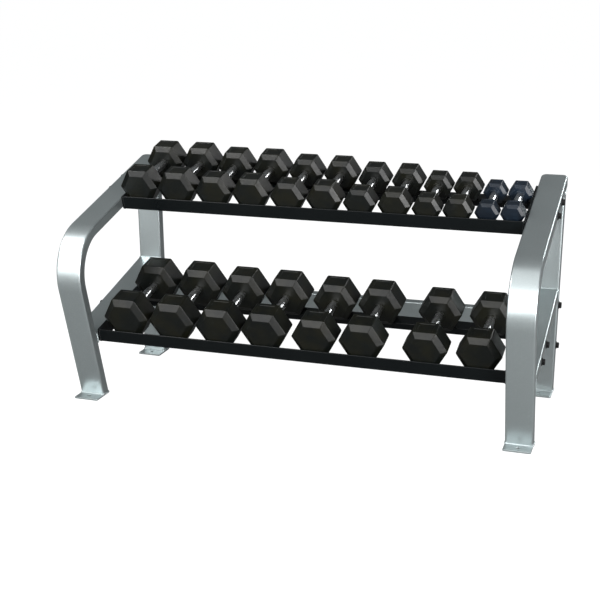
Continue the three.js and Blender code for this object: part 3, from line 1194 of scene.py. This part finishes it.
@dataclass
class Shelf:
    """One black shelf: a lipped front rail, a rear rail, two end plates and their welds."""

    tier: Tier
    rear_rail: float
    plate_length: float
    lip_thickness: float = 4.8 * MM
    lip_height: float = 30 * MM
    front_height: float = 16 * MM
    rear_height: float = 25.4 * MM
    front_depth: float = 38.1 * MM
    rear_depth: float = 50.8 * MM
    plate_thickness: float = 6 * MM
    plate_taper: float = 60 * MM
    bolt_hole: float = 6.3 * MM
    bead_radius: float = 2.4 * MM
    bend: float = 1.6 * MM
    corner: float = 3 * MM

    def axes(self, x: float) -> Matrix:
        """The matrix from (along the tilt, up from the lip's edge, along X) to the frame.

        Args:
            x: Where along the rack the matrix starts.

        Returns:
            The matrix.
        """
        low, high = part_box(f"{self.tier.value}_front_rail")
        tilt = VIEW.shelf_tilt
        front = low[1]
        top = high[2] - self.lip_thickness * math.sin(tilt)
        return Matrix((
            (0, 0, 1, x),
            (math.cos(tilt), -math.sin(tilt), 0, front),
            (math.sin(tilt), math.cos(tilt), 0, top),
            (0, 0, 0, 1),
        ))

    def rail(self, name: str, outline: Sequence[Point]) -> tuple[Object, list[list[Vector]]]:
        """Draws a rail out between the end plates.

        Args:
            name: The piece's name.
            outline: The rail's outline on the tilt.

        Returns:
            The rail and its two end rings.
        """
        low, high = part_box(f"{self.tier.value}_rear_rail")
        rings = [[self.axes(x) @ Vector((s, h, 0)) for s, h in outline] for x in (low[0], high[0])]
        return skin(name, rings), rings

    def front_rail(self) -> tuple[Object, list[list[Vector]]]:
        """Makes the front rail: a flat tube with a lip standing up in front of it.

        Returns:
            The rail and its two end rings.
        """
        lip, back = self.lip_thickness, self.lip_thickness + self.front_depth
        floor = -self.lip_height - self.front_height
        corners = [
            (0, 0), (lip, 0), (lip, -self.lip_height), (back, -self.lip_height),
            (back, floor), (0, floor),
        ]
        return self.rail(f"{self.tier.value}_front_bar", fillet(corners, self.bend, 4))

    def rear_bar(self) -> tuple[Object, list[list[Vector]]]:
        """Makes the rear rail, a plain flat tube.

        Returns:
            The rail and its two end rings.
        """
        middle_s = self.rear_rail + self.rear_depth / 2
        middle_h = -self.lip_height - self.rear_height / 2
        section = rounded_rectangle(self.rear_depth, self.rear_height, self.corner)
        outline = [(middle_s + s, middle_h + h) for s, h in section]
        return self.rail(f"{self.tier.value}_rear_bar", outline)

    def end_plate(self, side: Side) -> Object:
        """Makes the end plate that bolts to a side frame.

        Args:
            side: The frame it bolts to.

        Returns:
            The plate.
        """
        node = f"{side.label}_{self.tier.value}_shelf_end_plate"
        low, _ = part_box(node)
        axes = self.axes(low[0])
        floor = -self.lip_height - self.rear_height
        corners = [
            (0, -self.lip_height - self.front_height), (self.plate_taper, floor),
            (self.plate_length, floor), (self.plate_length, 0), (0, 0),
        ]
        outline = fillet(corners, self.corner, 4)
        away = axes.inverted()
        holes = []
        for which in ("front", "rear"):
            middle = away @ middle_of(f"{side.label}_{self.tier.value}_shelf_bolt_{which}")
            holes.append((middle.x, middle.y))
        name = f"{side.label}_{self.tier.value}_shelf_plate"
        return pierced_plate(name, outline, holes, self.bolt_hole, self.plate_thickness, axes)

    def build(self, finishes: Finishes, beads: NodeProgram) -> None:
        """Builds and dresses the shelf.

        Args:
            finishes: The materials.
            beads: The weld bead program for black pieces.
        """
        front, front_rings = self.front_rail()
        rear, rear_rings = self.rear_bar()
        for piece, node in ((front, "front_rail"), (rear, "rear_rail")):
            dress(piece, finishes.black, Slot.BLACK, RACK, f"{self.tier.value}_{node}")
            even_normals(piece)
        for side in Side:
            plate = self.end_plate(side)
            node = f"{side.label}_{self.tier.value}_shelf_end_plate"
            dress(plate, finishes.black, Slot.BLACK, RACK, node)
            even_normals(plate)
        welds = weld_paths(f"{self.tier.value}_shelf_welds", front_rings + rear_rings)
        beads.run(welds, Bead_Radius=self.bead_radius)
        dress(welds, finishes.black, Slot.BLACK, RACK)


@dataclass
class Crossbar:
    """The silver bar between the uprights, on edge, with a tapped plate at each end."""

    bolt_hole: float = 6.3 * MM
    bead_radius: float = 3.1 * MM
    plate_corner: float = 4 * MM

    def bar(self) -> tuple[Object, list[list[Vector]]]:
        """Makes the bar.

        Returns:
            The bar and its two end rings.
        """
        low, high = box_of("rear_crossbar")
        middle = (low + high) / 2
        rings = []
        for x in (low.x, high.x):
            rings.append([Vector((x, middle.y + b, middle.z + a)) for a, b in TUBE.section()])
        return skin("crossbar_tube", rings), rings

    def end_plate(self, side: Side) -> Object:
        """Makes the plate that bolts to one upright.

        Args:
            side: The frame it bolts to.

        Returns:
            The plate.
        """
        low, high = box_of(f"{side.label}_crossbar_end_plate")
        corners = [(low.y, low.z), (high.y, low.z), (high.y, high.z), (low.y, high.z)]
        outline = fillet(corners, self.plate_corner, 4)
        axes = Matrix(((0, 0, 1, low.x), (1, 0, 0, 0), (0, 1, 0, 0), (0, 0, 0, 1)))
        holes = []
        for which in ("lower", "upper"):
            middle = middle_of(f"{side.label}_crossbar_bolt_{which}")
            holes.append((middle.y, middle.z))
        name = f"{side.label}_crossbar_plate"
        return pierced_plate(name, outline, holes, self.bolt_hole, high.x - low.x, axes)

    def build(self, finishes: Finishes, beads: NodeProgram) -> None:
        """Builds and dresses the bar, its plates and its welds.

        Args:
            finishes: The materials.
            beads: The weld bead program.
        """
        bar, rings = self.bar()
        dress(bar, finishes.silver, Slot.SILVER, RACK, "rear_crossbar")
        even_normals(bar)
        for side in Side:
            plate = self.end_plate(side)
            dress(plate, finishes.silver, Slot.SILVER, RACK, f"{side.label}_crossbar_end_plate")
            even_normals(plate)
        welds = weld_paths("crossbar_welds", rings)
        beads.run(welds, Bead_Radius=self.bead_radius)
        dress(welds, finishes.silver, Slot.SILVER, RACK)


# ---- Bolts --------------------------------------------------------------------------------


@dataclass
class Bolts:
    """The twelve black bolts and washers on the frames' outer faces."""

    washer_radius: float = 13 * MM
    washer: float = 2.5 * MM
    head: float = 7.5 * MM
    flats: float = 19 * MM
    shank_radius: float = 5.9 * MM
    shank: float = 94 * MM
    gap: float = 0.3 * MM
    rim: float = 0.6 * MM
    # The turned-off corners begin at this share of the flats, and the neck is narrower still.
    turned_share: float = 0.95
    neck_share: float = 0.94
    # The rings of the head, as shares of its height, from its top down.
    levels: tuple[float, ...] = (1.0, 0.97, 0.9, 0.8, 0.7, 0.05)
    sides: int = 48

    def radius(self, turn: float, height: float) -> float:
        """The head's radius at a turn and a height: a hexagon whose top corners are turned off.

        Args:
            turn: The angle round the bolt.
            height: The height above the washer.

        Returns:
            The radius.
        """
        wedge = (turn + math.pi / 6) % (math.pi / 3) - math.pi / 6
        corner_cut = self.flats / 2 * self.turned_share + (self.head - height) * math.sqrt(3)
        return min(self.flats / 2 / math.cos(wedge), corner_cut)

    def model(self) -> Object:
        """Makes one bolt with its washer, its head towards -X.

        Returns:
            The bolt.
        """
        turns = [math.tau * step / self.sides for step in range(self.sides)]
        rings: list[list[Vector]] = []

        def ring(x: float, radii: Sequence[float]) -> None:
            """Adds a ring at x with a radius for each turn."""
            rings.append([Vector((x, r * math.cos(t), r * math.sin(t))) for r, t in zip(radii, turns)])

        base = self.gap + self.washer
        for level in self.levels:
            height = self.head * level
            ring(-base - height, [self.radius(t, height) for t in turns])
        rim = self.rim
        for x, r in (
            (-base, self.flats / 2 * self.neck_share),
            (-base, self.washer_radius - rim),
            (-base + rim, self.washer_radius),
            (-self.gap - rim, self.washer_radius),
            (-self.gap, self.washer_radius - rim),
            (-self.gap, self.shank_radius),
            (self.shank - rim, self.shank_radius),
            (self.shank, self.shank_radius - rim),
        ):
            ring(x, [r] * self.sides)
        return skin("bolt_model", rings)

    def build(self, finishes: Finishes) -> None:
        """Stands a bolt at each CAD bolt and dresses the set.

        Args:
            finishes: The materials.
        """
        nodes = sorted(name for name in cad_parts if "_bolt_" in name)
        places, facings = [], []
        for node in nodes:
            on_left = node.startswith("left")
            middle = middle_of(node)
            places.append((OUTER_X if on_left else -OUTER_X, middle.y, middle.z))
            facings.append(0.0 if on_left else math.pi)
        mesh = bpy.data.meshes.new("bolt_set")
        mesh.from_pydata(places, [], [])
        mesh.attributes.new("facing", "FLOAT", "POINT").data.foreach_set("value", facings)
        piece = new_object("bolt_set", mesh)
        model = self.model()
        bolt_program(finishes.bolt, model).run(piece)
        bpy.data.objects.remove(model)
        dress(piece, finishes.bolt, Slot.BOLT, RACK, *nodes)


# ---- Dumbbells ----------------------------------------------------------------------------


@dataclass
class Dumbbell:
    """A hexagonal dumbbell: two rubber heads on a knurled, chromed handle."""

    node: str
    weight: int
    flats_base: float = 8 * MM
    flats_per_root: float = 36.7 * MM
    head_share: float = 0.705
    chamfer_in: float = 0.14
    chamfer_along: float = 0.105
    corner_share: float = 0.055
    edge_share: float = 0.022
    boss_radius: float = 19 * MM
    boss_height: float = 2.6 * MM
    buried: float = 6 * MM
    recess: float = 1.1 * MM
    # A corner's radius shrinks by this share of the inset on the chamfers.
    corner_loss: float = 0.2
    corner_least: float = 1 * MM
    head_crease: float = 50.0
    panel_margin: float = 0.09
    panel_edge: float = 0.4 * MM
    face_rim: float = 10 * MM
    boss_share: float = 0.28
    boss_sunk: float = 2 * MM
    boss_back: float = 0.9
    boss_taper: float = 0.93
    boss_mouth: float = 0.6
    boss_round: float = 1.2 * MM
    boss_sides: int = 40
    # A grip is at its stoutest from this weight up.
    stout_weight: int = 25
    swell_least: float = 1.6 * MM
    swell_more: float = 2.0 * MM
    # The smallest pair is moulded in blue-black rubber.
    blue_weight: int = 5

    @property
    def root(self) -> float:
        """The cube root of the weight, which every size follows."""
        return self.weight ** (1 / 3)

    @property
    def flats(self) -> float:
        """The distance across a head's flats."""
        return self.flats_base + self.flats_per_root * self.root

    @property
    def head(self) -> float:
        """The length of a head."""
        return self.head_share * self.flats

    @property
    def grip(self) -> float:
        """The length of bare handle between the heads."""
        return min(146 * MM, 70 * MM + 22.5 * MM * self.root)

    def place(self) -> Matrix:
        """The matrix from the dumbbell's own axes, Y along its handle, to the frame."""
        return Matrix.Translation(middle_of(self.node)) @ Matrix.Rotation(VIEW.shelf_tilt, 4, "X")

    def hexagon(self, along: float, inset: float) -> list[Vector]:
        """A ring with rounded corners, flats above and below, set in from the head's sides.

        Args:
            along: The ring's place along the handle.
            inset: How far it is set in.

        Returns:
            The ring's points.
        """
        corner = (self.flats / 2 - inset) / math.cos(math.pi / 6)
        outline = [(corner * math.cos(k * math.pi / 3), corner * math.sin(k * math.pi / 3)) for k in range(6)]
        radius = max(self.corner_share * self.flats - inset * self.corner_loss, self.corner_least)
        return [Vector((x, along, z)) for x, z in fillet(outline, radius, 4)]

    def head_mesh(self) -> Object:
        """Makes the front head, its outer face towards -Y.

        Returns:
            The head.
        """
        start = -self.head - self.grip / 2
        inset, along_by = self.chamfer_in * self.flats, self.chamfer_along * self.flats
        rim = inset + self.face_rim
        section = fillet([
            (0, rim), (0, inset), (along_by, 0),
            (self.head - along_by, 0), (self.head, inset), (self.head, rim),
        ], self.edge_share * self.flats, 4, closed=False)
        head = skin("head", [self.hexagon(start + along, inset) for along, inset in section])
        self.sink_panel(head)
        return head

    def sink_panel(self, head: Object) -> None:
        """Sinks the shallow moulded panel into the head's upper flat.

        Args:
            head: The head, before it is put in place.
        """
        work = bmesh.new()
        work.from_mesh(head.data)
        nearly_up = 0.999
        level = [face for face in work.faces if face.normal.z > nearly_up]
        top = max(level, key=lambda face: face.calc_area())
        bmesh.ops.inset_individual(work, faces=[top], thickness=self.panel_margin * self.flats)
        bmesh.ops.inset_individual(work, faces=[top], thickness=self.recess, depth=-self.recess)
        bmesh.ops.inset_individual(work, faces=[top], thickness=self.panel_edge)
        work.to_mesh(head.data)
        work.free()
        finish_mesh(head, self.head_crease)

    def boss(self) -> Object:
        """Makes the low round boss where the handle enters a head.

        Returns:
            The boss.
        """
        start = -self.grip / 2 - self.boss_sunk
        radius = min(self.boss_radius, self.boss_share * self.flats)
        height = self.boss_height + self.boss_sunk
        section = fillet(
            [
                (0, self.boss_back * radius), (0, radius),
                (height, radius * self.boss_taper), (height, self.boss_mouth * radius),
            ],
            self.boss_round, 3, closed=False,
        )
        turns = [math.tau * step / self.boss_sides for step in range(self.boss_sides)]
        rings = [
            [Vector((r * math.cos(t), start + along, r * math.sin(t))) for t in turns] for along, r in section
        ]
        return skin("boss", rings)

    def heads(self) -> Object:
        """Joins both heads and their bosses into one piece, in place.

        Returns:
            The two heads.
        """
        parts = [self.head_mesh(), self.boss()]
        for part in list(parts):
            twin = part.copy()
            twin.data = part.data.copy()
            bpy.context.scene.collection.objects.link(twin)
            twin.data.transform(Matrix.Rotation(math.pi, 4, "Z"))
            parts.append(twin)
        piece = join(f"{self.node}_heads", parts)
        piece.data.transform(self.place())
        return piece

    def handle(self, program: NodeProgram) -> Object:
        """Turns and knurls the handle, in place.

        Args:
            program: The handle program.

        Returns:
            The handle.
        """
        piece = new_object(f"{self.node}_handle", bpy.data.meshes.new(f"{self.node}_handle"))
        stout = min(1.0, self.weight / self.stout_weight)
        swell = self.swell_least + self.swell_more * stout
        program.run(piece, Length=self.grip + 2 * self.buried, Swell=swell)
        piece.data.transform(self.place())
        return piece

    def build(self, finishes: Finishes, knurl: NodeProgram) -> None:
        """Builds and dresses the dumbbell.

        Args:
            finishes: The materials.
            knurl: The handle program.
        """
        rubber = finishes.blue_rubber if self.weight <= self.blue_weight else finishes.rubber
        heads = self.heads()
        dress(heads, rubber, Slot.RUBBER, self.node, self.node)
        even_normals(heads)
        handle = self.handle(knurl)
        dress(handle, finishes.chrome, Slot.CHROME, self.node)


# ---- Studio -------------------------------------------------------------------------------


@dataclass(frozen=True)
class Softbox:
    """A rectangular studio lamp: where it hangs, where it points, its sides and its power."""

    name: str
    place: tuple[float, float, float]
    target: tuple[float, float, float]
    width: float
    height: float
    watts: float

    def hang(self) -> None:
        """Puts the lamp in the scene."""
        lamp = bpy.data.lights.new(self.name, "AREA")
        lamp.shape = "RECTANGLE"
        lamp.size = self.width
        lamp.size_y = self.height
        lamp.energy = self.watts
        holder = bpy.data.objects.new(self.name, lamp)
        holder.location = self.place
        direction = Vector(self.target) - Vector(self.place)
        holder.rotation_euler = direction.to_track_quat("-Z", "Y").to_euler()
        holder.visible_camera = False
        bpy.context.scene.collection.objects.link(holder)


@dataclass
class Studio:
    """The pale floor, the soft lights and the camera."""

    camera_place: tuple[float, float, float] = (1.161, -3.583, 1.445)
    heading: float = 18.43
    pitch: float = -17.70
    roll: float = -0.28
    lens: float = 68.41
    shift: Point = (-0.0093, 0.0492)
    floor_half: float = 90.0
    lamps: tuple[Softbox, ...] = (
        Softbox("front_window", (-0.7, -3.0, 1.4), (0.0, 0.0, 0.5), 3.3, 2.3, 135.0),
        Softbox("high_left_softbox", (-2.0, -1.7, 3.2), (0.0, 0.0, 0.4), 1.3, 1.0, 105.0),
        Softbox("right_softbox", (2.9, -2.0, 1.1), (0.0, 0.0, 0.5), 1.6, 1.4, 190.0),
        Softbox("rear_right_spot", (1.7, 2.3, 2.3), (0.0, 0.0, 0.4), 0.7, 0.5, 22.0),
    )
    floor_drop: float = 0.2 * MM
    sun_strength: float = 1.0
    sun_angle: float = math.radians(60)
    sun_turn: tuple[float, float, float] = (math.radians(28), math.radians(-8), 0)
    room_strength: float = 0.18

    def floor(self, finishes: Finishes) -> None:
        """Lays the pale floor just under the feet.

        Args:
            finishes: The materials.
        """
        half = self.floor_half
        mesh = bpy.data.meshes.new("studio_floor")
        corners = [(-half, -half), (half, -half), (half, half), (-half, half)]
        mesh.from_pydata([(x, y, -self.floor_drop) for x, y in corners], [], [(0, 1, 2, 3)])
        floor = new_object("studio_floor", mesh)
        floor.data.materials.append(finishes.floor)

    def sun(self) -> None:
        """Adds a broad overhead light that keeps the floor even."""
        lamp = bpy.data.lights.new("overhead_silk", "SUN")
        lamp.energy = self.sun_strength
        lamp.angle = self.sun_angle
        holder = bpy.data.objects.new("overhead_silk", lamp)
        holder.rotation_euler = self.sun_turn
        bpy.context.scene.collection.objects.link(holder)

    def world(self) -> None:
        """Makes the room: dim where it lights the object, white where it is seen."""
        world = bpy.data.worlds.new("studio_room")
        bpy.context.scene.world = world
        world.use_nodes = True
        tree = world.node_tree
        tree.nodes.clear()
        room = add_node(tree, "ShaderNodeBackground", {
            "Color": linear("#e8eef0"), "Strength": self.room_strength,
        })
        seen = add_node(tree, "ShaderNodeBackground", {"Color": linear("#ffffff"), "Strength": 1.0})
        ray = add_node(tree, "ShaderNodeLightPath")
        either = add_node(tree, "ShaderNodeMixShader", {
            0: ray.outputs["Is Camera Ray"], 1: room.outputs[0], 2: seen.outputs[0],
        })
        add_node(tree, "ShaderNodeOutputWorld", {"Surface": either.outputs[0]})
        bpy.context.scene.view_settings.view_transform = "Standard"

    def camera(self) -> None:
        """Stands the camera in front, to the right and above."""
        lens = bpy.data.cameras.new("camera")
        lens.lens = self.lens
        lens.sensor_width = 36.0
        lens.shift_x, lens.shift_y = self.shift
        lens.clip_end = 300
        camera = bpy.data.objects.new("camera", lens)
        turn = (
            Matrix.Rotation(math.radians(self.heading), 4, "Z")
            @ Matrix.Rotation(math.radians(90 + self.pitch), 4, "X")
            @ Matrix.Rotation(math.radians(self.roll), 4, "Z")
        )
        camera.matrix_world = Matrix.Translation(self.camera_place) @ turn
        bpy.context.scene.collection.objects.link(camera)
        bpy.context.scene.camera = camera

    def build(self, finishes: Finishes) -> None:
        """Sets the studio up.

        Args:
            finishes: The materials.
        """
        self.floor(finishes)
        self.world()
        self.sun()
        for lamp in self.lamps:
            lamp.hang()
        self.camera()


def main() -> None:
    """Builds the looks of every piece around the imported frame."""
    logging.basicConfig(level=logging.INFO, format="%(name)s: %(message)s")
    finishes = Finishes()
    Studio().build(finishes)
    silver_beads = weld_program(finishes.silver)
    black_beads = weld_program(finishes.black)
    SideFrame().build(finishes, silver_beads)
    Shelf(Tier.UPPER, rear_rail=211 * MM, plate_length=285 * MM).build(finishes, black_beads)
    Shelf(Tier.LOWER, rear_rail=275 * MM, plate_length=335 * MM).build(finishes, black_beads)
    Crossbar().build(finishes, silver_beads)
    Bolts().build(finishes)
    knurl = knurl_program(finishes.chrome)
    for node in sorted(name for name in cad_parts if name.startswith("dumbbell_")):
        weight = int(node.split("_")[1].removesuffix("lb"))
        Dumbbell(node, weight).build(finishes, knurl)


if __name__ == "__main__":
    main()
